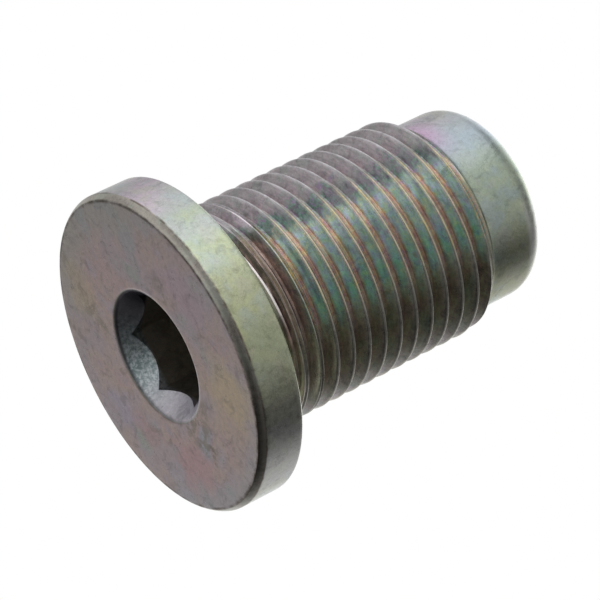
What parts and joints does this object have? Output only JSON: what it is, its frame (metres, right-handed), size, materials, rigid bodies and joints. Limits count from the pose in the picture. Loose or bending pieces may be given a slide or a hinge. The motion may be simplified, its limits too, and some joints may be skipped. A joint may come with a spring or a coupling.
{
  "type": "magnetic drain plug",
  "caption": "Turned steel drain plug with a wide collar head, an internal hexagon, a relieved neck, an M18 x 1.5 thread and a round-edged pilot end that holds a magnet.",
  "frame": {"origin": "centre of the head's outer face, which is also the face the plug stands on", "axes": "+Z along the screw axis from the head to the magnet end; the internal hexagon has two corners on the X axis; the side seen in the picture faces -Y"},
  "size_m": [0.0258, 0.0258, 0.0318],
  "materials": {
    "plated_steel": "satin",
    "magnet": "satin"
  },
  "bodies": {
    "root": {"plug_body": "plated_steel", "magnet": "magnet"}
  },
  "joints": []
}
